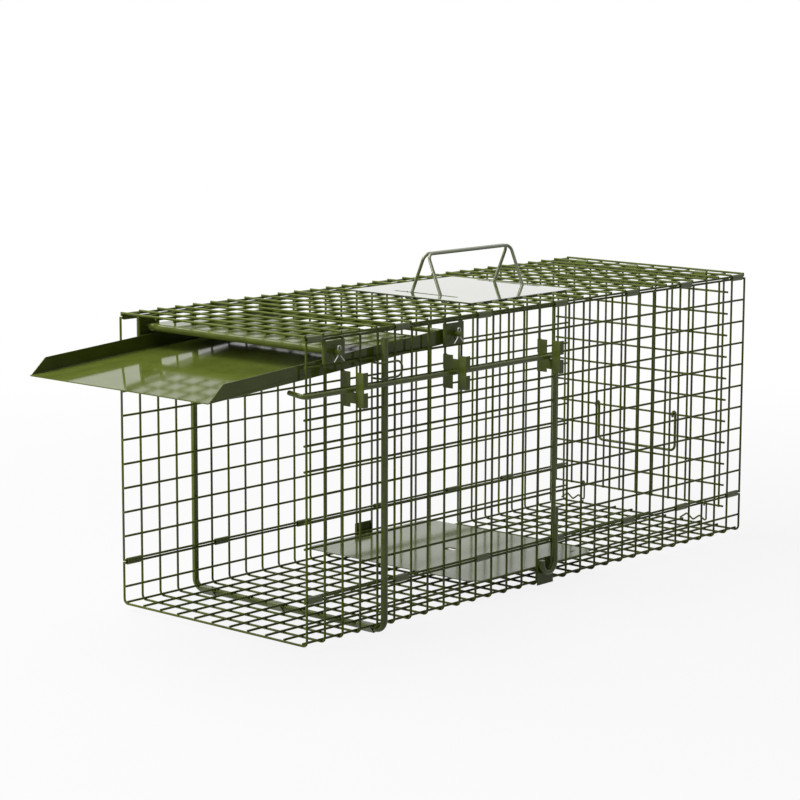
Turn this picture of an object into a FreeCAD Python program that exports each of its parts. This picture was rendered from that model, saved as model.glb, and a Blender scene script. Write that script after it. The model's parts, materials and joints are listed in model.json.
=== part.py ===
import FreeCAD, Part
import math
import os

from FreeCAD import Vector

# Live catch trap of welded mesh. While it is built, X runs from the mouth to the rear, Y from the
# near wall to the far wall and Z up, from the first upright wire of the near wall. At the end the
# whole trap is moved so that the origin is the middle of its box, at the lowest point.
# Wires are bars of flat sides: six on the mesh, eight or more elsewhere. A wire's diameter is
# measured across its corners. A mesh wire has a flat side towards each wire that it crosses.

# Driving dimensions, in millimetres
pitch = 28.0              # spacing of the welded wires
wire = 2.7
cells_long = 29
cells_wide = 10
cells_high = 10
tray_bend = 5.6           # from the outer floor wire to the wall plane
tray_low = 21.2           # height of the lower wire of a tray side
tray_high = 48.7          # height of the upper wire of a tray side
seam = 0.6                # between two wires that a clip joins
wire_end = 1.0            # what a mesh wire stands past the last wire it crosses
sleeve_sides = 10         # of a curl round an upright wire
sheet = 1.2               # sheet metal of the door, flap, pan and brackets
clip_sheet = 0.8
clip_length = 23.0
clip_fit = 0.05           # between a clip and the wires in it
fit = 0.3                 # between pieces that pass each other
running = 0.08            # radial play of a hinge

brace_rod = 8.0
cross_rod = 6.0
split_pin = 1.8
trigger_wire = 5.6
shaft = 7.0
handle_wire = 4.2
pull_wire = 3.6
latch_wire = 2.4
keeper_wire = 2.6

# Places, in cells from the mouth
front_rod_cell = 1.5
rear_rod_cell = 8.5
brace_cell = 4.2
trigger_cells = (2, 8, 14)
trigger_arm_cell = 14.3
shaft_cell = 14.45
pan_cells = (10.3, 18.5)
handle_cells = (12.75, 18.25)
shield_cells = (11.7, 18.45)
rear_door_cell = 28
seam_clip_cells = (0, 5, 10, 15, 20, 24, 28)

# Derived places
flat = wire * math.cos(math.pi / 6)       # across the flats, so also between crossing wires
length = cells_long * pitch
width = cells_wide * pitch + 2 * tray_bend
floor = brace_rod - flat                  # underside of the floor mesh
cross_z = floor + flat / 2
long_z = cross_z + flat
tray_top = floor + tray_high
side_low = tray_top + wire + seam
side_top = side_low + cells_high * pitch
roof_long = side_top + wire + seam
roof_cross = roof_long + flat
roof_top = roof_cross + flat / 2
roof_pitch = (width - 2 * flat) / cells_wide
rod_z = side_top - pitch / 2
front_rod_x = front_rod_cell * pitch
rear_rod_x = rear_rod_cell * pitch

X = Vector(1, 0, 0)
Y = Vector(0, 1, 0)
Z = Vector(0, 0, 1)


# Shape helpers

def bar(points, diameter, facing, sides=8):
    """A wire along the points, mitred at each. At its start a flat side looks along facing."""
    runs = [(b - a).normalize() for a, b in zip(points, points[1:])]
    upright = runs[0].cross(facing).normalize()
    across = upright.cross(runs[0])
    turns = [math.pi * (2 * k + 1) / sides for k in range(sides)]
    reach = diameter / 2
    offsets = [across * (reach * math.cos(t)) + upright * (reach * math.sin(t)) for t in turns]
    rings = []
    for i, point in enumerate(points):
        run = runs[max(i - 1, 0)]
        nxt = runs[min(i, len(runs) - 1)]
        mitre = (run + nxt).normalize()
        offsets = [o - run * (o.dot(mitre) / run.dot(mitre)) for o in offsets]
        rings.append([point + o for o in offsets])
        offsets = [o - nxt * o.dot(nxt) for o in offsets]
    faces = [face_of(rings[0]), face_of(rings[-1])]
    for one, two in zip(rings, rings[1:]):
        for k in range(sides):
            n = (k + 1) % sides
            faces.append(face_of([one[k], one[n], two[n], two[k]]))
    solid = Part.Solid(Part.makeShell(faces))
    return solid if solid.Volume > 0 else solid.reversed()


def arc(centre, radius, side, up, start, end, steps):
    """Points round an arc, from the angle start to end in degrees from side towards up."""
    step = math.radians((end - start) / steps)
    reach = radius / math.cos(step / 2)
    angles = [math.radians(start) + step * (k + 0.5) for k in range(steps)]
    ends = [math.radians(start), math.radians(end)]
    spans = [(ends[0], radius)] + [(a, reach) for a in angles] + [(ends[1], radius)]
    return [centre + side * (d * math.cos(a)) + up * (d * math.sin(a)) for a, d in spans]


def rounded(points, radius, steps=2):
    """The points with each inner corner turned into an arc of this radius."""
    result = [points[0]]
    for before, corner, after in zip(points, points[1:], points[2:]):
        back = (before - corner).normalize()
        on = (after - corner).normalize()
        half = back.getAngle(on) / 2
        middle = (back + on).normalize()
        centre = corner + middle * (radius / math.sin(half))
        up = (on - back).normalize()
        sweep = 90 - math.degrees(half)
        result += arc(centre, radius, middle * -1, up, -sweep, sweep, steps)[1:-1]
    return result + [points[-1]]


def face_of(points):
    return Part.Face(Part.makePolygon(points + points[:1]))


def plate(points, thick):
    """A flat sheet: the outline pushed out by the vector thick."""
    return face_of(points).extrude(thick)


def box(low, high):
    size = high - low
    return Part.makeBox(size.x, size.y, size.z, low)


def cylinder(start, end, radius):
    axis = end - start
    return Part.makeCylinder(radius, axis.Length, start, axis)


def mesh_wire(points, facing):
    return bar(points, wire, facing, 6)


def sleeve(x, low, high, gap):
    """An upright bar that stands off an upright wire of the near wall by the gap."""
    reach = (wire + 2 * gap) / math.cos(math.pi / sleeve_sides)
    return bar([Vector(x, 0, low), Vector(x, 0, high)], reach, Y, sleeve_sides)


def band(centre_a, reach_a, centre_b, reach_b, along):
    """A solid bar whose section is a tight band round two circles."""
    unit = (centre_b - centre_a).normalize()
    side = along.cross(unit).normalize()
    tilt = math.asin((reach_a - reach_b) / (centre_b - centre_a).Length)
    outline = []
    for centre, reach, sign in ((centre_a, reach_a, -1), (centre_b, reach_b, 1)):
        quarter = (math.pi / 2 - sign * tilt) / 4
        for step in (-3, -1, 1, 3):
            out = unit * (sign * math.cos(step * quarter)) + side * (sign * math.sin(step * quarter))
            outline.append(centre + out * (reach / math.cos(quarter)))
    return plate(outline, along)


def wrap(centre_a, reach_a, centre_b, reach_b, along):
    """A sheet clip folded round two bars side by side, given to the inside of the fold."""
    inner = band(centre_a, reach_a, centre_b, reach_b, along)
    outer = band(centre_a, reach_a + clip_sheet, centre_b, reach_b + clip_sheet, along)
    return outer.cut(inner)


def mirrored(shape):
    """The same piece on the far wall."""
    return shape.mirror(Vector(0, width / 2, 0), Y)


# Welded mesh

def long_wire(y, z, facing):
    return mesh_wire([Vector(-wire_end, y, z), Vector(length + wire_end, y, z)], facing)


def tray_mesh():
    """The floor and both low sides in one panel: its cross wires are bent up at both ends."""
    solids = []
    top = tray_top + wire_end
    for i in range(cells_long + 1):
        x = i * pitch
        corners = [Vector(x, 0, top), Vector(x, 0, cross_z)]
        corners += [Vector(x, width, cross_z), Vector(x, width, top)]
        solids.append(mesh_wire(rounded(corners, tray_bend), Y))
    solids += [long_wire(tray_bend + k * pitch, long_z, Z) for k in range(cells_wide + 1)]
    for y in (flat, width - flat):
        solids += [long_wire(y, floor + z, Y) for z in (tray_low, tray_high)]
    return Part.makeCompound(solids)


def side_mesh():
    solids = []
    for i in range(cells_long + 1):
        foot = Vector(i * pitch, 0, side_low - wire_end)
        top = Vector(i * pitch, 0, side_top + wire_end)
        solids.append(mesh_wire([foot, top], Y))
    solids += [long_wire(flat, side_low + k * pitch, Y) for k in range(cells_high + 1)]
    return Part.makeCompound(solids)


def roof_y(k):
    return flat + k * roof_pitch


def top_mesh():
    solids = [long_wire(roof_y(k), roof_long, Z) for k in range(cells_wide + 1)]
    for i in range(cells_long + 1):
        start = Vector(i * pitch, roof_y(0) - wire_end, roof_cross)
        end = Vector(i * pitch, roof_y(cells_wide) + wire_end, roof_cross)
        solids.append(mesh_wire([start, end], Z))
    return Part.makeCompound(solids)


def seam_clips(low, high):
    """Clips round a pair of long wires of the near wall, at the heights low and high."""
    reach = wire / 2 + clip_fit
    solids = []
    for cell in seam_clip_cells:
        x = cell * pitch + (pitch - clip_length) / 2
        solids.append(wrap(Vector(x, flat, low), reach, Vector(x, flat, high), reach,
                           X * clip_length))
    return Part.makeCompound(solids)


# Rear door: a flat mesh panel that hangs in clips from a cross wire of the roof

door_x = rear_door_cell * pitch
door_hinge_z = roof_long - wire - 2 * running
door_first_row = 0.6 * pitch              # from the hinge wire to the next cross wire
door_rows = 10
door_side_gap = 2.2                       # from the side wall's long wires
door_upright_inset = 5.0
door_clip_cells = (1, 5, 8)
door_clip_length = 18.0
door_end = flat + wire / 2 + door_side_gap
door_first_upright = door_end + door_upright_inset
door_pitch = (width - 2 * door_first_upright) / cells_wide


def door_row_z(k):
    return door_hinge_z - door_first_row - k * pitch


def door_y(k):
    return door_first_upright + k * door_pitch


def rear_door_mesh():
    solids = []
    heights = [door_hinge_z] + [door_row_z(k) for k in range(door_rows + 1)]
    for z in heights:
        start = Vector(door_x, door_end, z)
        solids.append(mesh_wire([start, Vector(door_x, width - door_end, z)], X))
    for k in range(cells_wide + 1):
        foot = Vector(door_x - flat, door_y(k), door_row_z(door_rows) - wire_end)
        solids.append(mesh_wire([foot, Vector(foot.x, foot.y, door_hinge_z + wire_end)], X))
    return Part.makeCompound(solids)


def rear_door_clips():
    """Each holds the rear door's top wire under a cross wire of the roof, free to turn."""
    free = wire / 2 + running
    solids = []
    for cell in door_clip_cells:
        left = max(roof_y(cell), door_y(cell))
        right = min(roof_y(cell + 1), door_y(cell + 1))
        y = (left + right - door_clip_length) / 2
        low = Vector(door_x, y, door_hinge_z)
        high = Vector(door_x, y, roof_cross)
        solids.append(wrap(low, free, high, wire / 2 + clip_fit, Y * door_clip_length))
    return Part.makeCompound(solids)


# Brace: a bent rod round the cage that keeps its walls upright

brace_x = brace_cell * pitch
brace_wire_x = math.floor(brace_cell) * pitch
brace_out = (wire + brace_rod) / 2        # from the wall plane
brace_below = 6.0         # from the wall's top wire to the brace's ends
brace_top = side_top - brace_below
brace_bend = 12.0
brace_clip_length = 22.0
brace_clip_cells = (0, 5, 9)
keeper_drop = 1.17 * pitch
keeper_high = 0.62 * pitch
keeper_before = 0.25 * pitch              # from the brace's wall wire to the hooked ends
keeper_past = 0.7 * pitch                 # from that wire to the start of the round end


def brace_frame():
    low = brace_rod / 2
    corners = [Vector(brace_x, -brace_out, brace_top), Vector(brace_x, -brace_out, low)]
    corners += [Vector(brace_x, width + brace_out, low), Vector(brace_x, width + brace_out, brace_top)]
    return bar(rounded(corners, brace_bend, 3), brace_rod, X, 12)


def brace_clips():
    """Flat clips that hold the rod to the floor's cross wire beside it."""
    solids = []
    for cell in brace_clip_cells:
        y = tray_bend + cell * pitch + (pitch - brace_clip_length) / 2
        on_rod = Vector(brace_x, y, brace_rod / 2)
        on_wire = Vector(brace_wire_x, y, cross_z)
        solids.append(wrap(on_rod, brace_rod / 2 + clip_fit, on_wire, wire / 2 + clip_fit,
                           Y * brace_clip_length))
    return Part.makeCompound(solids)


def brace_keeper():
    """A wire ring that ties the brace's upright to the wall: its ends hook behind a wall wire."""
    front = -brace_out - (brace_rod + keeper_wire) / 2 - clip_fit
    back = (wire + keeper_wire) / 2
    left = brace_wire_x - keeper_before
    right = brace_wire_x + keeper_past
    high = side_top - keeper_drop
    low = high - keeper_high
    radius = keeper_high / 2
    upper = [Vector(left, back, high), Vector(left, front, high), Vector(right, front, high)]
    lower = [Vector(right, front, low), Vector(left, front, low), Vector(left, back, low)]
    bulge = arc(Vector(right, front, low + radius), radius, X, Z, 90, -90, 6)
    path = rounded(upper, keeper_wire)[:-1] + bulge + rounded(lower, keeper_wire)[1:]
    return bar(path, keeper_wire, Z)


# Cross rods of the front door, with their plates and split pins

rod_plate_high = pitch - wire - 2 * fit
rod_past_plate = 9.0
rod_reach = wire / 2 + sheet + rod_past_plate
pin_from_end = 4.0
pin_neck = 1.2            # from the rod up to the pin's eye
pin_eye = 2.2             # radius
pin_eye_turn = 300        # degrees
pin_knee = 1.0            # from the rod down to where the legs part
pin_legs = (Vector(-7.0, 0, -6.5), Vector(6.0, 0, -7.5))


def rod_plate(cell):
    """A plate outside the near wall, curled round two upright wires and holed for the rod."""
    low = rod_z - rod_plate_high / 2
    high = low + rod_plate_high
    left = cell * pitch
    right = left + pitch
    inner = flat / 2 + clip_fit
    solid = box(Vector(left, -inner - sheet, low), Vector(right, -inner, high))
    for x in (left, right):
        solid = solid.fuse(sleeve(x, low, high, clip_fit + sheet))
    for x in (left, right):
        solid = solid.cut(sleeve(x, low, high, clip_fit))
    between = box(Vector(left, -inner, low), Vector(right, 2 * pitch, high))
    hole = cylinder(Vector(left + pitch / 2, -pitch, rod_z), Vector(left + pitch / 2, 0, rod_z),
                    cross_rod / 2 + clip_fit)
    return solid.cut(between).cut(hole).removeSplitter()


def cross_rod_at(x):
    """A rod through both walls, cross-drilled at each end for a split pin."""
    solid = cylinder(Vector(x, -rod_reach, rod_z), Vector(x, width + rod_reach, rod_z), cross_rod / 2)
    for y in pin_places():
        hole = Vector(x, y, rod_z)
        drill = bar([hole - Z * cross_rod, hole + Z * cross_rod], split_pin + 2 * fit, X, 6)
        solid = solid.cut(drill)
    return solid


def pin_places():
    return (pin_from_end - rod_reach, width + rod_reach - pin_from_end)


def split_pin_at(x, y):
    """One split pin: an eye on top, a shank through the rod and two legs spread below it."""
    knee = Vector(x, y, rod_z - cross_rod / 2 - pin_knee)
    neck = Vector(x, y, rod_z + cross_rod / 2 + pin_neck)
    loop = arc(neck + Z * pin_eye, pin_eye, Z * -1, X, 0, pin_eye_turn, 6)
    left, right = (knee + leg for leg in pin_legs)
    solid = bar([left, knee] + loop, split_pin, Y, 6)
    return solid.fuse(bar([knee, right], split_pin, Y, 6))


def split_pins():
    rods = (front_rod_x, rear_rod_x)
    return Part.makeCompound([split_pin_at(x, y) for x in rods for y in pin_places()])


# Front door and its lock flap

door_length = 377.5       # from the hinge line to the front lip
door_tail = 8.0           # behind the hinge line
door_drop = 11.4          # from the hinge line down to the underside
door_slope = 3.84         # degrees from level when set
flange_high = 17.3
flange_slant = 23.3       # how far the flange's front end slants back
door_gap = 5.5            # from the wall plane to the flange's outer face
flap_gap = 5.4
flap_length = 122.0
flap_lip = 0.9


def door_panel():
    """A shallow tray of sheet: the plate and two side flanges, holed for the rear rod."""
    under = rod_z - door_drop
    lip = rear_rod_x - door_length
    tail = rear_rod_x + door_tail
    solid = box(Vector(lip, door_gap, under), Vector(tail, width - door_gap, under + sheet))
    outline = [(lip, under), (lip + flange_slant, under + flange_high)]
    outline += [(tail, under + flange_high), (tail, under)]
    flange = plate([Vector(x, door_gap, z) for x, z in outline], Y * sheet)
    solid = solid.fuse([flange, mirrored(flange)]).removeSplitter()
    hinge = Vector(rear_rod_x, 0, rod_z)
    solid = solid.cut(cylinder(hinge, hinge + Y * width, cross_rod / 2 + running))
    solid.rotate(hinge, Y, -door_slope)
    return solid


def lock_flap():
    """A sheet curled round the front rod, lying back over the door's flanges."""
    wide = width - 2 * flap_gap
    inner = cross_rod / 2 + running
    outer = inner + sheet
    end = front_rod_x + flap_length
    centre = Vector(front_rod_x, flap_gap, rod_z)
    curl = cylinder(centre, centre + Y * wide, outer)
    top = box(centre + Z * inner, Vector(end, width - flap_gap, rod_z + outer))
    lip = box(Vector(end - sheet, flap_gap, rod_z + inner - flap_lip),
              Vector(end, width - flap_gap, rod_z + inner))
    bore = cylinder(centre, centre + Y * wide, inner)
    slit = box(centre + Vector(inner / 2, 0, inner / 4),
               Vector(end - sheet, width - flap_gap, rod_z + inner))
    return curl.fuse([top, lip]).cut(bore).cut(slit).removeSplitter()


# Trigger: a rod in three brackets, from the front door to the trip pan

bracket_reach = 33.0
bracket_high = 38.0
bracket_strip = 12.0
bracket_notch = 9.0
bracket_fold = 7.5
fold_nick = 3.0
trigger_y = -(flat / 2 + bracket_strip + bracket_notch / 2)
trigger_z = floor + 9.9 * pitch
trigger_front = -0.75 * pitch
trigger_foot = floor + 2.75 * pitch
trigger_tip_rise = 3.0
trigger_bend = 7.0


def trigger_rod():
    """One bent wire: a short arm to the door's edge and a long arm down to the trip pan."""
    arm_x = trigger_arm_cell * pitch
    tip = Vector(trigger_front, door_gap - 2 * fit, trigger_z + trigger_tip_rise)
    front = Vector(trigger_front, trigger_y, trigger_z)
    rear = Vector(arm_x, trigger_y, trigger_z)
    foot = Vector(arm_x, trigger_y, trigger_foot)
    return bar(rounded([tip, front, rear, foot], trigger_bend, 4), trigger_wire, Z, 12)


def trigger_bracket(cell, web_side):
    """An H of sheet standing out of the wall, with the rod in its notch.

    The web is under the rod where web_side is -1, and over it where web_side is 1.
    """
    wall_x = cell * pitch
    x = wall_x - wire / 2 - clip_fit - sheet
    half = bracket_high / 2
    low = trigger_z - half
    high = trigger_z + half
    seat = trigger_wire / 2 + running
    body = box(Vector(x, -bracket_reach, low), Vector(x + sheet, 0, high))
    web = (seat, seat + bracket_strip)
    notch = sorted((-web_side * half, web_side * web[0]))
    spare = sorted((web_side * web[1], web_side * half))
    for below, above in (notch, spare):
        body = body.cut(box(
            Vector(x, trigger_y - bracket_notch / 2, trigger_z + below),
            Vector(x + sheet, trigger_y + bracket_notch / 2, trigger_z + above)))
    fold = box(Vector(x, -bracket_reach, low), Vector(x + bracket_fold, sheet - bracket_reach, high))
    nick = box(Vector(x + sheet, -bracket_reach, trigger_z - fold_nick),
               Vector(x + bracket_fold, sheet - bracket_reach, trigger_z + fold_nick))
    body = body.fuse(fold.cut(nick))
    for foot, top in ((low, trigger_z - fold_nick), (trigger_z + fold_nick, high)):
        body = body.fuse(sleeve(wall_x, foot, top, clip_fit + sheet))
    body = body.cut(sleeve(wall_x, low, high, clip_fit))
    behind = box(Vector(wall_x - pitch / 2, flat / 2 - fit, low), Vector(wall_x + pitch / 2, pitch, high))
    return body.cut(behind).removeSplitter()


# Trip pan: a see-saw plate on a shaft with a J of rod welded across its end outside the near wall

shaft_x = shaft_cell * pitch
shaft_high = 16.0         # from the floor mesh's underside
shaft_z = floor + shaft_high
pan_gap = 8.5             # from the wall plane
pan_corner = 12.0
pan_hole = 8.0
pan_slot = Vector(10.0, 2.5, sheet)
hook_y = -8.0
hook_radius = 12.2
hook_short = 3.5          # straight end of the short leg
hook_top = floor + 3.35 * pitch
bearing_cells = (13.97, 15.03)
bearing_high = 33.0
shaft_past = 3 * sheet    # from the far wall's outer side


def trip_pan():
    front, rear = (cell * pitch for cell in pan_cells)
    z = shaft_z + shaft / 2
    c = pan_corner
    near = pan_gap
    far = width - pan_gap
    outline = [(front + c, near), (rear - c, near), (rear, near + c), (rear, far - c)]
    outline += [(rear - c, far), (front + c, far), (front, far - c), (front, near + c)]
    solid = plate([Vector(x, y, z) for x, y in outline], Z * sheet)
    middle = Vector((front + rear) / 2, width / 2, z)
    slot = Vector(rear - pitch, near + 0.6 * pitch, z)
    return solid.cut(cylinder(middle, middle + Z * sheet, pan_hole)).cut(box(slot, slot + pan_slot))


def pan_shaft():
    """The shaft, with a J across its near end that stands up beside the trigger's long arm."""
    near = Vector(shaft_x, hook_y, shaft_z)
    far = Vector(shaft_x, width + wire / 2 + shaft_past, shaft_z)
    centre = near + Z * hook_radius
    hook = arc(centre, hook_radius, X, Z, 180, 360, 8)
    top = Vector(hook[-1].x, hook_y, hook_top)
    hooked = bar([hook[0] + Z * hook_short] + hook + [top], shaft, Y, 12)
    return hooked.fuse(bar([near, far], shaft, Z, 12))


def pan_bearing():
    """A plate outside the near wall across two upright wires, holed for the shaft."""
    inner = -(flat / 2 + clip_fit)
    left, right = (cell * pitch for cell in bearing_cells)
    solid = box(Vector(left, inner - sheet, floor + fit), Vector(right, inner, floor + bearing_high))
    hole = cylinder(Vector(shaft_x, -pitch, shaft_z), Vector(shaft_x, 0, shaft_z),
                    shaft / 2 + running)
    return solid.cut(hole)


# Handle: two wire bails that lean together over a shield plate

shield_sheet = 1.0
shield_inset = 1.75 * pitch
handle_rows = (4, 6)      # the long roof wires that the near and far bail hook round
handle_rise = 52.0
slot_wide = 6.0
slot_reach = 21.0
hook_turn = 230           # degrees that the open end of an eye or hook runs round its wire


def shield_plate():
    """A plate on the roof under the handle, with a slot at each end for the bails' legs."""
    start = Vector(shield_cells[0] * pitch, shield_inset, roof_top)
    end = Vector(shield_cells[1] * pitch, width - shield_inset, roof_top + shield_sheet)
    solid = box(start, end)
    for cell in handle_cells:
        x = cell * pitch
        solid = solid.cut(box(
            Vector(x - slot_wide / 2, roof_y(handle_rows[0]) - slot_reach, start.z),
            Vector(x + slot_wide / 2, roof_y(handle_rows[1]) + slot_reach, end.z)))
    return solid


def near_handle_bail():
    """A bail whose feet hook round a long roof wire and whose grip leans on the other's grip."""
    foot = Vector(0, roof_y(handle_rows[0]), roof_long)
    grip = Vector(0, width / 2 - handle_wire / 2 - fit - foot.y, handle_rise)
    hook = (wire + handle_wire) / 2 + fit
    lean = math.atan2(grip.y, grip.z) - math.asin(hook / grip.Length)
    up = Vector(0, math.sin(lean), math.cos(lean))
    out = Vector(0, math.cos(lean), -math.sin(lean))
    ends = [foot + X * (cell * pitch) for cell in handle_cells]
    starts = [end + out * hook for end in ends]
    leg = up * grip.dot(up)
    middle = rounded([starts[0], starts[0] + leg, starts[1] + leg, starts[1]], 2 * handle_wire, 3)
    first = arc(ends[0], hook, out, up * -1, hook_turn, 0, 6)[:-1]
    last = arc(ends[1], hook, out, up * -1, 0, hook_turn, 6)[1:]
    return bar(first + middle + last, handle_wire, X)


# Pull bail and latches of the rear door

pull_row = 6
pull_cells = (3.1, 7.6)
pull_drop = 1.75 * pitch
near_latch_cells = (1.2, 2.7)
far_latch_cells = (8.4, 9.8)
latch_drop = 0.85 * pitch
latch_wave = 7.0          # height of its zigzag


def eye(centre, diameter, turned):
    """Points of an open eye round a cross wire of the rear door, from its tip to its leg."""
    hook = (wire + diameter) / 2 + fit
    points = arc(centre, hook, X, Z, hook_turn, 0, 6)
    return points[::-1] if turned else points


def rear_door_pull():
    """A bail that hangs on a cross wire of the rear door by two eyes."""
    feet = [Vector(door_x, cell * pitch, door_row_z(pull_row)) for cell in pull_cells]
    first = eye(feet[0], pull_wire, False)
    last = eye(feet[1], pull_wire, True)
    lows = [first[-1] - Z * pull_drop, last[0] - Z * pull_drop]
    middle = rounded([first[-1]] + lows + [last[0]], 2 * pull_wire, 2)
    return bar(first + middle[1:-1] + last, pull_wire, Y)


def rear_latch(cells):
    """A spring wire: an eye on the door's lowest cross wire, then a zigzag down to the floor."""
    start, end = (cell * pitch for cell in cells)
    first = eye(Vector(door_x, start, door_row_z(door_rows)), latch_wire, False)
    low = -Z * latch_drop
    knee = low + Z * latch_wave
    step = Y * ((end - start) / 4)
    top = first[-1]
    corners = [top, top + low, top + step + knee, top + step * 2 + low]
    corners += [top + step * 3 + knee, top + step * 4 + low]
    return bar(first + rounded(corners, latch_wire, 1)[1:], latch_wire, Y, 6)


# The nodes

nodes = {
    "tray_mesh": tray_mesh(),
    "near_side_mesh": side_mesh(),
    "far_side_mesh": mirrored(side_mesh()),
    "top_mesh": top_mesh(),
    "rear_door_mesh": rear_door_mesh(),
    "near_sill_clips": seam_clips(tray_top, side_low),
    "far_sill_clips": mirrored(seam_clips(tray_top, side_low)),
    "near_roof_clips": seam_clips(side_top, roof_long),
    "far_roof_clips": mirrored(seam_clips(side_top, roof_long)),
    "rear_door_clips": rear_door_clips(),
    "brace_frame": brace_frame(),
    "brace_clips": brace_clips(),
    "near_brace_keeper": brace_keeper(),
    "far_brace_keeper": mirrored(brace_keeper()),
    "front_rod": cross_rod_at(front_rod_x),
    "rear_rod": cross_rod_at(rear_rod_x),
    "split_pins": split_pins(),
    "door_panel": door_panel(),
    "lock_flap": lock_flap(),
    "trigger_rod": trigger_rod(),
    "trip_pan": trip_pan(),
    "pan_shaft": pan_shaft(),
    "near_pan_bearing": pan_bearing(),
    "far_pan_bearing": mirrored(pan_bearing()),
    "shield_plate": shield_plate(),
    "near_handle_bail": near_handle_bail(),
    "far_handle_bail": mirrored(near_handle_bail()),
    "rear_door_pull": rear_door_pull(),
    "near_rear_latch": rear_latch(near_latch_cells),
    "far_rear_latch": rear_latch(far_latch_cells),
}
for place, x in (("front", front_rod_x), ("rear", rear_rod_x)):
    cell = math.floor(x / pitch)
    nodes[place + "_near_rod_plate"] = rod_plate(cell)
    nodes[place + "_far_rod_plate"] = mirrored(rod_plate(cell))
for place, cell, web_side in zip(("front", "middle", "rear"), trigger_cells, (-1, 1, -1)):
    nodes[place + "_trigger_bracket"] = trigger_bracket(cell, web_side)

whole = Part.makeCompound(list(nodes.values())).optimalBoundingBox(False, False)
origin = Vector(whole.Center.x, whole.Center.y, whole.ZMin)
print("origin", round(origin.x, 4), round(origin.y, 4), round(origin.z, 4))

os.makedirs("parts", exist_ok=True)
for name, shape in nodes.items():
    if not shape.isValid():
        print("not valid:", name)
    shape.translate(origin * -1)
    shape.exportStep("parts/" + name + ".step")
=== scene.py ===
import json
import math

import bmesh
import bpy
from bpy.props import FloatProperty, FloatVectorProperty, PointerProperty
from mathutils import Matrix, Vector

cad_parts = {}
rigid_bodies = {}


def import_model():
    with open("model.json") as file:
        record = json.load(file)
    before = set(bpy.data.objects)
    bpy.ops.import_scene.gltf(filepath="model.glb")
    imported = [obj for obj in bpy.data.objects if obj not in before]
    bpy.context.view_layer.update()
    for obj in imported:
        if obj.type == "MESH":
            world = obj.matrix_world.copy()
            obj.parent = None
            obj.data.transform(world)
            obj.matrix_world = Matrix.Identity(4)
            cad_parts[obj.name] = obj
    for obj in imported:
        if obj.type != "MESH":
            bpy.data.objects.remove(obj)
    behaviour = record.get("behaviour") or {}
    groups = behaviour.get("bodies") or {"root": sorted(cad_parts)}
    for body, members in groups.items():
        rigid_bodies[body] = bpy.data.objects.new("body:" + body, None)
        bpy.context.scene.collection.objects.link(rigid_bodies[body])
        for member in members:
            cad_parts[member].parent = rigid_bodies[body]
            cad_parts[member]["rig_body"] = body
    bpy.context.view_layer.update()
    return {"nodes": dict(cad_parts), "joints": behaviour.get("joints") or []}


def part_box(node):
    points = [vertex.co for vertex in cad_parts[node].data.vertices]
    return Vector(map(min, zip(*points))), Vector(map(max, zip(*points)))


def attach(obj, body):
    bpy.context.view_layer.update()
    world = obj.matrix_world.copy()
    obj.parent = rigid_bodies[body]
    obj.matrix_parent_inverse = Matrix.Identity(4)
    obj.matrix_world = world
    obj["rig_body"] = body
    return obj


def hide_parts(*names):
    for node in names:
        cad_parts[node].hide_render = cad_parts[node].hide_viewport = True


bl_info = {
    "name": "Live catch trap",
    "version": (1, 0, 0),
    "blender": (4, 5, 0),
    "location": "3D View > Sidebar > Trap",
    "description": "Draws a live catch trap's wires, clips, sheet parts and paint on its CAD frame",
    "category": "Object",
}

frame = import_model()

MM = 0.001
X = Vector((1, 0, 0))
Y = Vector((0, 1, 0))
Z = Vector((0, 0, 1))


# Places that come from the frame

PITCH = 28 * MM
CELLS_LONG = 29
CELLS_WIDE = 10
CELLS_HIGH = 10

near_low, near_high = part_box("near_side_mesh")
far_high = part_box("far_side_mesh")[1]
tray_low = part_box("tray_mesh")[0]
roof_low, roof_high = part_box("top_mesh")

contact = (near_high.y - near_low.y) / 2            # between the middles of crossing wires
mouth_x = (near_low.x + near_high.x - CELLS_LONG * PITCH) / 2
rear_x = mouth_x + CELLS_LONG * PITCH
near_y = near_low.y + contact / 2
far_y = far_high.y - contact / 2
middle_y = (near_y + far_y) / 2
floor_cross_z = tray_low.z + contact / 2
floor_long_z = floor_cross_z + contact
side_foot_z = (near_low.z + near_high.z - CELLS_HIGH * PITCH) / 2
side_top_z = side_foot_z + CELLS_HIGH * PITCH
roof_long_z = roof_low.z + contact / 2
roof_cross_z = roof_high.z - contact / 2
roof_pitch = (middle_y - near_y - contact) * 2 / CELLS_WIDE


# Sizes that the frame's boxes don't give

WELDED_WIRE = 2.7 * MM           # a mesh wire, which the eyes of bails and latches go round
WIRE_END = 1.0 * MM              # what a mesh wire stands past the last wire it crosses
TRAY_BEND = 5.6 * MM
TRAY_LOWER_WIRE = 21.2 * MM      # above the floor's underside
TRAY_UPPER_WIRE = 48.7 * MM
EYE_PLAY = 0.3 * MM
EYE_TURN = 230                   # degrees of an open eye
BRACE_BEND = 12 * MM
BRACE_END = 1 * MM               # bevel of the brace's cut ends
TRIGGER_BEND = 7 * MM
HOOK_LEG = 3.5 * MM              # short leg of the J on the trip plate's shaft
LATCH_WAVE = 7.0 * MM            # height of the rear latches' zigzag
SHEET = 1.2 * MM
SHEET_EDGE = 0.25 * MM           # rounding of a cut edge
PLAIN_EDGE = 0.3 * MM
ROD_EDGE = 0.4 * MM
DOOR_FOLD = 1.2 * MM             # inner radius of a fold
BRACKET_FOLD = 0.8 * MM

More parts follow.
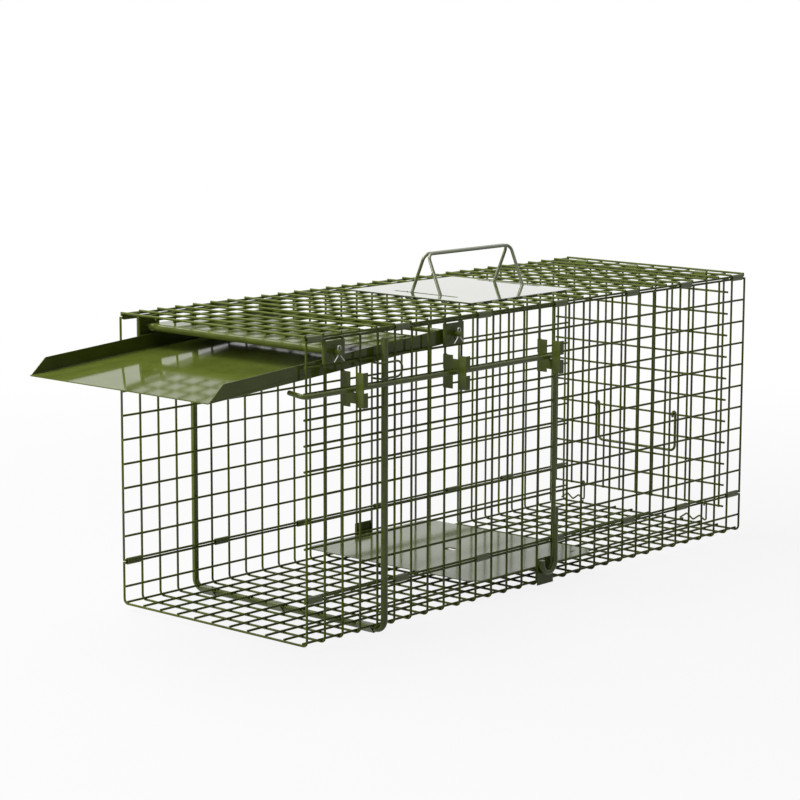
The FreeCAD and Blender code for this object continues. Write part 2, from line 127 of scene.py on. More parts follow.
# A split pin, measured from the middle of the rod that it goes through
PIN_HALF = 0.9 * MM              # from its middle to the outside of the pins' box
PIN_EYE = 2.3 * MM
PIN_KNEE = 4.0 * MM              # how far down its legs part
PIN_SPREAD = 6.6 * MM            # how far aside a leg's tip stands
PIN_FOOT = 1.6 * MM              # a leg's tip above the foot of the pins' box
PIN_NECK = 0.3 * MM
PIN_SPLAY = 14                   # degrees that a shank turns out into the eye

# How a shape of the frame is read
SAME_POINT = 0.01 * MM           # corners nearer than this are one
SHARP_FROM = 40                  # degrees between faces that meet in a sharp edge
CUT_END_FROM = 70                # degrees between a rod's side and its cut end
FOLD_FROM = 60                   # degrees between the faces of a fold

# Depths and scales of the paint's relief and the mirror level of each finish
CLOUD_SCALE = 45.0
WAVE_SCALE = 7.0
PEEL_SCALE = 650.0
WIRE_PEEL = 0.01 * MM
WIRE_WAVE = 0.1 * MM
SHEET_PEEL = 0.002 * MM
SHEET_WAVE = 0.25 * MM
LACQUER_PEEL = 0.001 * MM
LACQUER_WAVE = 0.1 * MM
MESH_MIRROR = 0.06
CLIP_MIRROR = 0.35
ROD_MIRROR = 0.25
SHEET_MIRROR = 0.15
FULL_MIRROR = 0.5
ROD_SMOOTHER = 0.8               # a rod's roughness as a share of a mesh wire's
TRIP_ROUGHNESS = 0.11
SHIELD_ROUGHNESS = 0.08
ZINC_SCALE = 900.0

# The studio
CAMERA_AIM = Vector((-0.0386, 0.0, 0.2262))
SENSOR_WIDTH = 36.0              # millimetres
FLOOR_SIZE = 30.0
FLOOR_GREY = 0.50
FLOOR_WHITE_NEAR = 0.88          # share of plain white that is seen under the trap
FLOOR_WHITE_FROM = 0.5           # metres from the middle where that share starts to grow
FLOOR_WHITE_TO = 1.8             # metres from the middle where all is white

# Each soft box: its place, the point that it faces and the length of its side
OVERHEAD_BOX = ((-0.6, 0.9, 2.2), (0.0, 0.0, 0.2), 2.2)
MOUTH_BOX = ((-2.6, 0.7, 1.3), (-0.2, 0.0, 0.2), 1.2)


def joint_place(name):
    """The point on a joint's axis, in the frame."""
    found = next(j for j in frame["joints"] if j["name"] == name)
    return Vector(found["pos_m"])


def loose_boxes(node):
    """The lowest and highest corners of each solid of a CAD node."""
    bm = bmesh.new()
    bm.from_mesh(frame["nodes"][node].data)
    bmesh.ops.remove_doubles(bm, verts=bm.verts, dist=SAME_POINT)
    boxes = []
    left = set(bm.verts)
    while left:
        reached = [left.pop()]
        for vert in reached:
            for edge in vert.link_edges:
                other = edge.other_vert(vert)
                if other in left:
                    left.remove(other)
                    reached.append(other)
        low = Vector([min(v.co[i] for v in reached) for i in range(3)])
        high = Vector([max(v.co[i] for v in reached) for i in range(3)])
        boxes.append((low, high))
    bm.free()
    return sorted(boxes, key=lambda b: tuple(round(c, 4) for c in b[0]))


# Settings that a user would change

class TrapWires(bpy.types.PropertyGroup):
    """Diameters of the round wires and rods."""
    mesh: FloatProperty(name="Mesh wire", description="Diameter of the welded mesh's wires",
                        default=WELDED_WIRE, unit="LENGTH")
    brace: FloatProperty(name="Brace rod", description="Diameter of the bent rod round the cage",
                         default=7.8 * MM, unit="LENGTH")
    trigger: FloatProperty(name="Trigger rod", description="Diameter of the trigger rod",
                           default=5.5 * MM, unit="LENGTH")
    shaft: FloatProperty(name="Trip shaft", description="Diameter of the trip plate's shaft",
                         default=6.9 * MM, unit="LENGTH")
    handle: FloatProperty(name="Handle wire", description="Diameter of the handle's two bails",
                          default=4.1 * MM, unit="LENGTH")
    pull: FloatProperty(name="Pull wire", description="Diameter of the rear door's pull bail",
                        default=3.5 * MM, unit="LENGTH")
    latch: FloatProperty(name="Latch wire", description="Diameter of the rear door's latches",
                         default=2.3 * MM, unit="LENGTH")
    keeper: FloatProperty(name="Keeper wire", description="Diameter of the rings that hold the brace",
                          default=2.5 * MM, unit="LENGTH")
    pin: FloatProperty(name="Split pin wire", description="Diameter of one leg of a split pin",
                       default=1.2 * MM, unit="LENGTH")


class TrapFinish(bpy.types.PropertyGroup):
    """Colours and gloss of the paint and of the bare metal."""
    paint: FloatVectorProperty(name="Paint", description="Colour of the olive-green powder coat",
                               default=(0.097, 0.125, 0.020), subtype="COLOR", size=3)
    deep: FloatVectorProperty(name="Thick paint", description="Colour where the coat is thicker",
                              default=(0.080, 0.104, 0.016), subtype="COLOR", size=3)
    zinc: FloatVectorProperty(name="Zinc", description="Colour of the bare zinc of the split pins",
                              default=(0.36, 0.36, 0.35), subtype="COLOR", size=3)
    wire_gloss: FloatProperty(name="Wire roughness", description="Roughness of the paint on wires",
                              default=0.20, min=0.0, max=1.0)
    sheet_gloss: FloatProperty(name="Sheet roughness", description="Roughness of the paint on sheet",
                               default=0.07, min=0.0, max=1.0)


class TrapStage(bpy.types.PropertyGroup):
    """Camera and light of the studio."""
    azimuth: FloatProperty(name="Azimuth", description="Direction the camera looks from",
                           default=math.radians(-48.1), subtype="ANGLE")
    elevation: FloatProperty(name="Elevation", description="Height of the camera as an angle",
                             default=math.radians(9.31), subtype="ANGLE")
    roll: FloatProperty(name="Roll", description="Turn of the camera about its own axis",
                        default=math.radians(0.17), subtype="ANGLE")
    distance: FloatProperty(name="Distance", description="From the aim point to the camera",
                            default=3.0174, unit="LENGTH")
    lens: FloatProperty(name="Lens", description="Focal length on a 36 mm sensor, in millimetres",
                        default=114.86)
    key: FloatProperty(name="Key light", description="Power of the overhead soft box, in watts",
                       default=82.0)
    side: FloatProperty(name="Side light", description="Power of the soft box at the mouth, in watts",
                        default=40.0)
    fill: FloatProperty(name="Fill", description="Strength of the white room round the trap",
                        default=0.15)


# Making pieces

def draw_wire(bm, start, heading, moves, diameter, sides=12, step=15):
    """Draws a round wire as a wire bender makes it.

    Each move is (feed, angle, radius, axis): a straight feed, then a turn about the axis.
    """
    here = Vector(start)
    heading = Vector(heading).normalized()
    upright = heading.to_track_quat("Z", "X").to_matrix().to_4x4()
    disc = bmesh.ops.create_circle(bm, segments=sides, radius=diameter / 2,
                                   matrix=Matrix.Translation(here) @ upright)["verts"]
    ring = list({edge for vert in disc for edge in vert.link_edges})
    first_ring = ring
    for feed, angle, radius, axis in moves:
        if feed:
            made = bmesh.ops.extrude_edge_only(bm, edges=ring)["geom"]
            verts = [g for g in made if isinstance(g, bmesh.types.BMVert)]
            bmesh.ops.translate(bm, verts=verts, vec=heading * feed)
            ring = ring_of(made, verts)
            here = here + heading * feed
        if angle:
            centre = here + axis.cross(heading) * radius
            verts = list({vert for edge in ring for vert in edge.verts})
            made = bmesh.ops.spin(bm, geom=verts + ring, cent=centre, axis=axis,
                                  angle=math.radians(angle), use_duplicate=False,
                                  steps=max(1, round(abs(angle) / step)))["geom_last"]
            verts = [g for g in made if isinstance(g, bmesh.types.BMVert)]
            ring = ring_of(made, verts)
            turn = Matrix.Rotation(math.radians(angle), 3, axis)
            here = centre + turn @ (here - centre)
            heading = turn @ heading
    for edges in (first_ring, ring):
        bmesh.ops.edgenet_fill(bm, edges=edges)


def ring_of(geometry, verts):
    """The edges of the new geometry that join these points."""
    ends = set(verts)
    edges = [g for g in geometry if isinstance(g, bmesh.types.BMEdge)]
    return [edge for edge in edges if ends.issuperset(edge.verts)]


def straight_wire(bm, start, end, diameter, sides=12):
    """Draws a round wire from one point straight to another."""
    draw_wire(bm, start, end - start, [((end - start).length, 0, 0, X)], diameter, sides)


def corner_moves(points, bend):
    """Moves that take a wire through the points, with a bend of this radius at each corner."""
    moves = []
    trimmed = 0
    for before, corner, after in zip(points, points[1:], points[2:]):
        come = corner - before
        go = after - corner
        angle = come.angle(go)
        trim = bend * math.tan(angle / 2)
        axis = come.cross(go).normalized()
        moves.append((come.length - trimmed - trim, math.degrees(angle), bend, axis))
        trimmed = trim
    moves.append(((points[-1] - points[-2]).length - trimmed, 0, 0, X))
    return moves


def wire_through(bm, points, bend, diameter, sides=12):
    """Draws a round wire through points, with a bend of this radius at each corner."""
    draw_wire(bm, points[0], points[1] - points[0], corner_moves(points, bend), diameter, sides)


def finish_piece(bm, name, body, slot, material, *nodes):
    """Turns a bmesh into a piece that rides on a body and stands for the CAD nodes named."""
    bmesh.ops.recalc_face_normals(bm, faces=bm.faces)
    mesh = bpy.data.meshes.new(name)
    bm.to_mesh(mesh)
    bm.free()
    mesh.shade_smooth()
    mesh.set_sharp_from_angle(angle=math.radians(SHARP_FROM))
    piece = bpy.data.objects.new(name, mesh)
    bpy.context.scene.collection.objects.link(piece)
    mesh.materials.append(material)
    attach(piece, body)
    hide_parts(*nodes)
    return piece


def body_of(node):
    """The name of the body that a CAD node rides on."""
    return frame["nodes"][node]["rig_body"]


def eye_radius(wire):
    """Radius of the middle line of an eye that is loose round a welded wire."""
    return (WELDED_WIRE + wire) / 2 + EYE_PLAY


def folds(bm):
    """The inner and the outer long edges of the folds of a bent sheet."""
    turned = [(e, math.degrees(e.calc_face_angle_signed())) for e in bm.edges if e.is_manifold]
    inner = [e for e, angle in turned if angle < -FOLD_FROM and e.calc_length() > 4 * SHEET]
    outer = []
    for edge, angle in turned:
        middle = (edge.verts[0].co + edge.verts[1].co) / 2
        for other in inner if angle > FOLD_FROM else ():
            reach = (other.verts[0].co + other.verts[1].co) / 2 - middle
            if reach.length < 2 * SHEET and edge.calc_length() > other.calc_length() / 2:
                outer.append(edge)
                break
    return inner, outer


def rounded_edges(bm, edges, offset, segments):
    """Rounds edges of a sheet with an even bevel."""
    bmesh.ops.bevel(bm, geom=edges, offset=offset, offset_type="OFFSET", segments=segments,
                    profile=0.5, affect="EDGES", clamp_overlap=True, material=-1)
    bm.normal_update()


def softened(node, slot, material, edge=PLAIN_EDGE, bend=0):
    """Shows a sheet or rod of the frame with its folds and cut edges rounded."""
    bm = bmesh.new()
    bm.from_mesh(frame["nodes"][node].data)
    bmesh.ops.remove_doubles(bm, verts=bm.verts, dist=SAME_POINT)
    bmesh.ops.dissolve_limit(bm, angle_limit=math.radians(1), verts=bm.verts, edges=bm.edges)
    bm.normal_update()
    if bend:
        rounded_edges(bm, folds(bm)[1], bend + SHEET, 4)
        rounded_edges(bm, folds(bm)[0], bend, 4)
    sharp = [e for e in bm.edges if e.is_manifold and e.calc_face_angle() > math.radians(SHARP_FROM)]
    rounded_edges(bm, sharp, edge, 2)
    piece = finish_piece(bm, "painted_" + node, body_of(node), slot, material, node)
    flat = piece.modifiers.new("flat_faces", "WEIGHTED_NORMAL")
    flat.keep_sharp = True
    return piece


# Materials

def new_material(name):
    """A node material, its nodes, its links and its shader."""
    material = bpy.data.materials.new(name)
    material.use_nodes = True
    nodes = material.node_tree.nodes
    return material, nodes, material.node_tree.links, nodes["Principled BSDF"]


def powder_coat(name, roughness, specular, peel_depth, wave_depth):
    """Olive-green powder coat: thicker in places, with the fine orange peel of a baked coat."""
    finish = bpy.context.scene.trap_finish
    material, nodes, links, shader = new_material(name)
    place = nodes.new("ShaderNodeTexCoord")
    clouds = nodes.new("ShaderNodeTexNoise")
    clouds.inputs["Scale"].default_value = CLOUD_SCALE
    clouds.inputs["Detail"].default_value = 5.0
    ramp = nodes.new("ShaderNodeValToRGB")
    ramp.color_ramp.elements[0].position = 0.35
    ramp.color_ramp.elements[0].color = (*finish.deep, 1)
    ramp.color_ramp.elements[1].position = 0.60
    ramp.color_ramp.elements[1].color = (*finish.paint, 1)
    rough = nodes.new("ShaderNodeMapRange")
    rough.inputs["To Min"].default_value = roughness * 0.8
    rough.inputs["To Max"].default_value = roughness * 1.3
    links.new(place.outputs["Object"], clouds.inputs["Vector"])
    links.new(clouds.outputs["Fac"], ramp.inputs["Fac"])
    links.new(clouds.outputs["Fac"], rough.inputs["Value"])
    links.new(ramp.outputs["Color"], shader.inputs["Base Color"])
    links.new(rough.outputs["Result"], shader.inputs["Roughness"])
    surface = None
    for scale, depth in ((WAVE_SCALE, wave_depth), (PEEL_SCALE, peel_depth)):
        grain = nodes.new("ShaderNodeTexNoise")
        grain.inputs["Scale"].default_value = scale
        grain.inputs["Detail"].default_value = 2.0
        bump = nodes.new("ShaderNodeBump")
        bump.inputs["Strength"].default_value = 1.0
        bump.inputs["Distance"].default_value = depth
        links.new(place.outputs["Object"], grain.inputs["Vector"])
        links.new(grain.outputs["Fac"], bump.inputs["Height"])
        if surface:
            links.new(surface.outputs["Normal"], bump.inputs["Normal"])
        surface = bump
    links.new(surface.outputs["Normal"], shader.inputs["Normal"])
    shader.inputs["Metallic"].default_value = 0.0
    shader.inputs["IOR"].default_value = 1.5
    shader.inputs["Specular IOR Level"].default_value = specular
    return material


def lacquered(name, roughness):
    """The same paint under a clear, very smooth coat, for the handle and the shield plate."""
    material = powder_coat(name, roughness, FULL_MIRROR, LACQUER_PEEL, LACQUER_WAVE)
    shader = material.node_tree.nodes["Principled BSDF"]
    shader.inputs["Coat Weight"].default_value = 1.0
    shader.inputs["Coat Roughness"].default_value = 0.05
    shader.inputs["Coat IOR"].default_value = 1.6
    return material


def zinc_plate(name):
    """Bare zinc whose shine varies finely from place to place."""
    finish = bpy.context.scene.trap_finish
    material, nodes, links, shader = new_material(name)
    place = nodes.new("ShaderNodeTexCoord")
    grain = nodes.new("ShaderNodeTexNoise")
    grain.inputs["Scale"].default_value = ZINC_SCALE
    rough = nodes.new("ShaderNodeMapRange")
    rough.inputs["To Min"].default_value = 0.25
    rough.inputs["To Max"].default_value = 0.5
    links.new(place.outputs["Object"], grain.inputs["Vector"])
    links.new(grain.outputs["Fac"], rough.inputs["Value"])
    links.new(rough.outputs["Result"], shader.inputs["Roughness"])
    shader.inputs["Base Color"].default_value = (*finish.zinc, 1)
    shader.inputs["Metallic"].default_value = 1.0
    return material


def finish_named(name):
    """The material of a finish, made when it is first asked for."""
    finish = bpy.context.scene.trap_finish
    wire = finish.wire_gloss
    rod = wire * ROD_SMOOTHER
    sheet = finish.sheet_gloss
    makers = {
        "mesh_paint": lambda own: powder_coat(own, wire, MESH_MIRROR, WIRE_PEEL, WIRE_WAVE),
        "clip_paint": lambda own: powder_coat(own, wire, CLIP_MIRROR, WIRE_PEEL, WIRE_WAVE),
        "rod_paint": lambda own: powder_coat(own, rod, ROD_MIRROR, WIRE_PEEL, WIRE_WAVE),
        "handle_paint": lambda own: lacquered(own, rod),
        "sheet_paint": lambda own: powder_coat(own, sheet, SHEET_MIRROR, SHEET_PEEL, SHEET_WAVE),
        "trip_plate_paint": lambda own: powder_coat(own, TRIP_ROUGHNESS, FULL_MIRROR,
                                                    SHEET_PEEL, SHEET_WAVE),
        "shield_paint": lambda own: lacquered(own, SHIELD_ROUGHNESS),
        "bare_zinc": zinc_plate,
    }
    own = "trap_" + name
    return bpy.data.materials.get(own) or makers[name](own)


# Operators, one for each group of like pieces

class TRAP_OT_mesh_panels(bpy.types.Operator):
    """Welded mesh: the tray, both walls, the roof and the rear door, in round wire"""
    bl_idname = "trap.mesh_panels"
    bl_label = "Welded mesh panels"

    def execute(self, context):
        wire = context.scene.trap_wires.mesh
        self.tray(wire)
        self.wall(wire, "near_side_mesh", near_y, contact)
        self.wall(wire, "far_side_mesh", far_y, -contact)
        self.roof(wire)
        self.rear_door(wire)
        return {"FINISHED"}

    def long_wire(self, bm, y, z, wire):
        start = Vector((mouth_x - WIRE_END, y, z))
        straight_wire(bm, start, Vector((rear_x + WIRE_END, y, z)), wire)

    def tray(self, wire):
        bm = bmesh.new()
        top = tray_low.z + TRAY_UPPER_WIRE + WIRE_END
        for i in range(CELLS_LONG + 1):
            x = mouth_x + i * PITCH
            corners = [(x, near_y, top), (x, near_y, floor_cross_z)]
            corners += [(x, far_y, floor_cross_z), (x, far_y, top)]
            wire_through(bm, [Vector(c) for c in corners], TRAY_BEND, wire)
        for k in range(CELLS_WIDE + 1):
            self.long_wire(bm, near_y + TRAY_BEND + k * PITCH, floor_long_z, wire)
        for y in (near_y + contact, far_y - contact):
            for height in (TRAY_LOWER_WIRE, TRAY_UPPER_WIRE):
                self.long_wire(bm, y, tray_low.z + height, wire)
        finish_piece(bm, "tray_wires", "cage", "mesh_paint", finish_named("mesh_paint"), "tray_mesh")

    def wall(self, wire, node, y, inward):
        bm = bmesh.new()
        for i in range(CELLS_LONG + 1):
            foot = Vector((mouth_x + i * PITCH, y, side_foot_z - WIRE_END))
            straight_wire(bm, foot, foot + Z * (side_top_z - side_foot_z + 2 * WIRE_END), wire)
        for k in range(CELLS_HIGH + 1):
            self.long_wire(bm, y + inward, side_foot_z + k * PITCH, wire)
        finish_piece(bm, node.replace("mesh", "wires"), "cage", "mesh_paint",
                     finish_named("mesh_paint"), node)

    def roof(self, wire):
        bm = bmesh.new()
        first = near_y + contact
        last = far_y - contact
        for k in range(CELLS_WIDE + 1):
            self.long_wire(bm, first + k * roof_pitch, roof_long_z, wire)
        for i in range(CELLS_LONG + 1):
            start = Vector((mouth_x + i * PITCH, first - WIRE_END, roof_cross_z))
            straight_wire(bm, start, start + Y * (last - first + 2 * WIRE_END), wire)
        finish_piece(bm, "roof_wires", "cage", "mesh_paint", finish_named("mesh_paint"), "top_mesh")

    def rear_door(self, wire):
        bm = bmesh.new()
        for low, high in loose_boxes("rear_door_mesh"):
            middle = (low + high) / 2
            along = Y if high.y - low.y > high.z - low.z else Z
            reach = along * ((high - low).dot(along) / 2)
            straight_wire(bm, middle - reach, middle + reach, wire)
        finish_piece(bm, "rear_door_wires", "rear_door", "mesh_paint", finish_named("mesh_paint"),
                     "rear_door_mesh")


class TRAP_OT_clips(bpy.types.Operator):
    """Strip clips folded round the wires where the panels meet"""
    bl_idname = "trap.clips"
    bl_label = "Clips"

    def execute(self, context):
        for node in ("near_sill_clips", "far_sill_clips", "near_roof_clips", "far_roof_clips",
                     "rear_door_clips", "brace_clips"):
            softened(node, "clip_paint", finish_named("clip_paint"), SHEET_EDGE)
        return {"FINISHED"}


class TRAP_OT_brace(bpy.types.Operator):
    """The bent rod round the cage and the wire rings that tie it to the walls"""
    bl_idname = "trap.brace"
    bl_label = "Brace"

    def execute(self, context):
        wires = context.scene.trap_wires
        low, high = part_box("brace_frame")
        inset = (high.x - low.x) / 2
        x = (low.x + high.x) / 2
        corners = [(x, low.y + inset, high.z), (x, low.y + inset, low.z + inset)]
        corners += [(x, high.y - inset, low.z + inset), (x, high.y - inset, high.z)]
        bm = bmesh.new()
        wire_through(bm, [Vector(c) for c in corners], BRACE_BEND, wires.brace, 20)
        self.round_ends(bm)
        finish_piece(bm, "brace_rod", "cage", "rod_paint", finish_named("rod_paint"), "brace_frame")
        self.keeper("near_brace_keeper", wires.keeper, -1)
        self.keeper("far_brace_keeper", wires.keeper, 1)
        return {"FINISHED"}

    def round_ends(self, bm):
        least = math.radians(CUT_END_FROM)
        rims = [e for e in bm.edges if e.is_manifold and e.calc_face_angle() > least]
        bmesh.ops.bevel(bm, geom=rims, offset=BRACE_END, offset_type="OFFSET", segments=2,
                        profile=0.5, affect="EDGES", clamp_overlap=True, material=-1)

    def keeper(self, node, wire, outward):
        low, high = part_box(node)
        half = wire / 2
        inner, outer = low.y + half, high.y - half
        if outward < 0:
            inner, outer = outer, inner
        left = low.x + half
        radius = (high.z - low.z) / 2 - half
        right = high.x - half - radius
        top = high.z - half
        heading = Y * outward
        axis = heading.cross(X)
        bm = bmesh.new()
        bend = wire
        reach = abs(outer - inner) - bend
        moves = [(reach, 90, bend, axis), (right - left - bend, 180, radius, Y)]
        moves += [(right - left - bend, 90, bend, -axis), (reach, 0, 0, X)]
        draw_wire(bm, Vector((left, inner, top)), heading, moves, wire)
        finish_piece(bm, node + "_ring", "cage", "rod_paint", finish_named("rod_paint"), node)


class TRAP_OT_cross_rods(bpy.types.Operator):
    """Cross rods of the front door, their curled plates and their split pins"""
    bl_idname = "trap.cross_rods"
    bl_label = "Cross rods, plates and pins"

    def execute(self, context):
        for node in ("front_rod", "rear_rod"):
            softened(node, "rod_paint", finish_named("rod_paint"), ROD_EDGE)
        for node in ("front_near_rod_plate", "front_far_rod_plate",
                     "rear_near_rod_plate", "rear_far_rod_plate"):
            softened(node, "sheet_paint", finish_named("sheet_paint"), SHEET_EDGE)
        self.split_pins(context.scene.trap_wires.pin)
        return {"FINISHED"}

    def split_pins(self, wire):
        """Each is one wire: a leg, the shank, the eye, the shank again and the other leg."""
        low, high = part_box("split_pins")
        rods = [joint_place("lock_flap_hinge"), joint_place("front_door_hinge")]
        reach = (high.y - low.y) / 2
        bm = bmesh.new()
        for rod in rods:
            for side in (-1, 1):
                middle = (high.y + low.y) / 2 + side * (reach - PIN_HALF)
                self.split_pin(bm, Vector((rod.x, middle, rod.z)), high.z, low.z, wire)
        finish_piece(bm, "split_pin_wires", "cage", "bare_zinc", finish_named("bare_zinc"),
                     "split_pins")

    def split_pin(self, bm, at, top, bottom, wire):
        half = wire / 2
        neck = top - half - 2 * PIN_EYE
        knee = at.z - PIN_KNEE
        left = Vector((at.x - PIN_SPREAD, at.y, bottom + PIN_FOOT))
        start = Vector((at.x - half, at.y, knee))
        run = start - left
        turn = math.degrees(run.angle(Z))
        moves = [
            (run.length, -turn, wire, Y),
            (neck - knee, -PIN_SPLAY, wire, Y),
            (PIN_NECK, 180 + 2 * PIN_SPLAY, PIN_EYE, Y),
            (PIN_NECK, -PIN_SPLAY, wire, Y),
            (neck - knee, -turn, wire, Y),
            (run.length, 0, 0, X),
        ]
        draw_wire(bm, left, run, moves, wire, 8)


class TRAP_OT_front_door(bpy.types.Operator):
    """The sheet front door and the lock flap over it"""
    bl_idname = "trap.front_door"
    bl_label = "Front door and lock flap"

    def execute(self, context):
        softened("door_panel", "sheet_paint", finish_named("sheet_paint"), SHEET_EDGE, DOOR_FOLD)
        softened("lock_flap", "sheet_paint", finish_named("sheet_paint"))
        return {"FINISHED"}


class TRAP_OT_trigger(bpy.types.Operator):
    """The bent trigger rod and its three folded brackets"""
    bl_idname = "trap.trigger"
    bl_label = "Trigger"

    def execute(self, context):
        wire = context.scene.trap_wires.trigger
        half = wire / 2
        low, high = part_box("trigger_rod")
        axle = joint_place("trigger_pivot")
        tip = Vector((low.x + half, high.y, high.z - half))
        front = Vector((low.x + half, axle.y, axle.z))
        rear = Vector((high.x - half, axle.y, axle.z))
        foot = Vector((high.x - half, axle.y, low.z))
        bm = bmesh.new()
        wire_through(bm, [tip, front, rear, foot], TRIGGER_BEND, wire, 16)
        finish_piece(bm, "trigger_wire", "trigger", "rod_paint", finish_named("rod_paint"),
                     "trigger_rod")
        for node in ("front_trigger_bracket", "middle_trigger_bracket", "rear_trigger_bracket"):
            softened(node, "sheet_paint", finish_named("sheet_paint"), SHEET_EDGE, BRACKET_FOLD)
        return {"FINISHED"}


class TRAP_OT_trip_plate(bpy.types.Operator):
    """The trip plate, its shaft with the hooked end and the shaft's bearing plates"""
    bl_idname = "trap.trip_plate"
    bl_label = "Trip plate"

    def execute(self, context):
        wire = context.scene.trap_wires.shaft
        half = wire / 2
        low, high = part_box("pan_shaft")
        axle = joint_place("trip_plate_pivot")
        hook_y = low.y + half
        radius = (high.x - low.x) / 2 - half
        start = Vector((low.x + half, hook_y, axle.z + radius + HOOK_LEG))
        moves = [(HOOK_LEG, 180, radius, -Y), (high.z - axle.z - radius, 0, 0, X)]
        bm = bmesh.new()
        draw_wire(bm, start, -Z, moves, wire, 16, 10)
        far_end = Vector((axle.x, high.y, axle.z))
        straight_wire(bm, far_end, Vector((axle.x, hook_y, axle.z)), wire, 16)
        finish_piece(bm, "trip_shaft", "trip_plate", "rod_paint", finish_named("rod_paint"),
                     "pan_shaft")
        softened("trip_pan", "sheet_paint", finish_named("trip_plate_paint"))
        for node in ("near_pan_bearing", "far_pan_bearing"):
            softened(node, "sheet_paint", finish_named("sheet_paint"))
        return {"FINISHED"}


class TRAP_OT_handle(bpy.types.Operator):
    """The carrying handle's two bails and the shield plate under them"""
    bl_idname = "trap.handle"
    bl_label = "Carrying handle"

    def execute(self, context):
        wire = context.scene.trap_wires.handle
        self.bail("near_handle_bail", "near_handle", "near_handle_fold", wire, 1)
        self.bail("far_handle_bail", "far_handle", "far_handle_fold", wire, -1)
        softened("shield_plate", "sheet_paint", finish_named("shield_paint"))
        return {"FINISHED"}

    def bail(self, node, body, joint, wire, inward):
        """A bail that leans inward, +1 towards the far wall or -1 towards the near wall."""
        half = wire / 2
        low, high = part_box(node)
        foot = joint_place(joint)
        grip_y = high.y - half if inward > 0 else low.y + half
        grip = Vector((0, grip_y - foot.y, high.z - half - foot.z))
        hook = eye_radius(wire)
        lean = math.atan2(abs(grip.y), grip.z) - math.asin(hook / grip.length)
        up = Vector((0, inward * math.sin(lean), math.cos(lean)))
        out = Vector((0, inward * math.cos(lean), -math.sin(lean)))
        start = Vector((low.x + half, foot.y, foot.z))
        span = high.x - low.x - wire
        turned = X * inward
        opening = Matrix.Rotation(math.radians(-EYE_TURN), 3, turned)
        bend = 2 * wire
        leg = grip.dot(up)
        moves = [
            (0, EYE_TURN, hook, turned),
            (leg - bend, 90, bend, up.cross(X)),
            (span - 2 * bend, 90, bend, up.cross(X)),
            (leg - bend, EYE_TURN, hook, -turned),
        ]
        bm = bmesh.new()
        draw_wire(bm, start + opening @ (out * hook), opening @ up, moves, wire)
        finish_piece(bm, node + "_wire", body, "rod_paint", finish_named("handle_paint"), node)


class TRAP_OT_rear_fittings(bpy.types.Operator):
    """The rear door's pull bail and its two latches"""
    bl_idname = "trap.rear_fittings"
    bl_label = "Rear door fittings"

    def execute(self, context):
        wires = context.scene.trap_wires
        self.pull(wires.pull)
        self.latch("near_rear_latch", "near_latch", "near_latch_swing", wires.latch)
        self.latch("far_rear_latch", "far_latch", "far_latch_swing", wires.latch)
        return {"FINISHED"}

    def pull(self, wire):
        low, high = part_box("rear_door_pull")
        half = wire / 2
        eye = joint_place("rear_pull_swing")
        hook = eye_radius(wire)
        opening = Matrix.Rotation(math.radians(EYE_TURN), 3, -Y)
        start = Vector((eye.x, low.y + half, eye.z)) + opening @ (X * hook)
        bend = 2 * wire
        drop = eye.z - low.z - half
        span = high.y - low.y - wire
        moves = [
            (0, EYE_TURN, hook, Y),
            (drop - bend, 90, bend, X),
            (span - 2 * bend, 90, bend, X),
            (drop - bend, EYE_TURN, hook, -Y),
        ]
        bm = bmesh.new()
        draw_wire(bm, start, opening @ -Z, moves, wire)
        finish_piece(bm, "rear_pull_wire", "rear_pull", "rod_paint", finish_named("rod_paint"),
                     "rear_door_pull")

    def latch(self, node, body, joint, wire):
        """An eye round the door's lowest wire, a straight drop and a zigzag of spring wire."""
        low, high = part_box(node)
        half = wire / 2
        eye = joint_place(joint)
        eye.y = low.y + half
        hook = eye_radius(wire)
        opening = Matrix.Rotation(math.radians(EYE_TURN), 3, -Y)
        top = eye + X * hook
        foot = Vector((top.x, top.y, low.z + half))
        step = (high.y - low.y - wire) / 4
        zigzag = [foot + Y * (step * k) + Z * (LATCH_WAVE * (k % 2)) for k in range(5)]
        moves = [(0, EYE_TURN, hook, Y)] + corner_moves([top] + zigzag, wire)
        bm = bmesh.new()
        draw_wire(bm, eye + opening @ (X * hook), opening @ -Z, moves, wire, 10)
        finish_piece(bm, node + "_wire", body, "rod_paint", finish_named("rod_paint"), node)


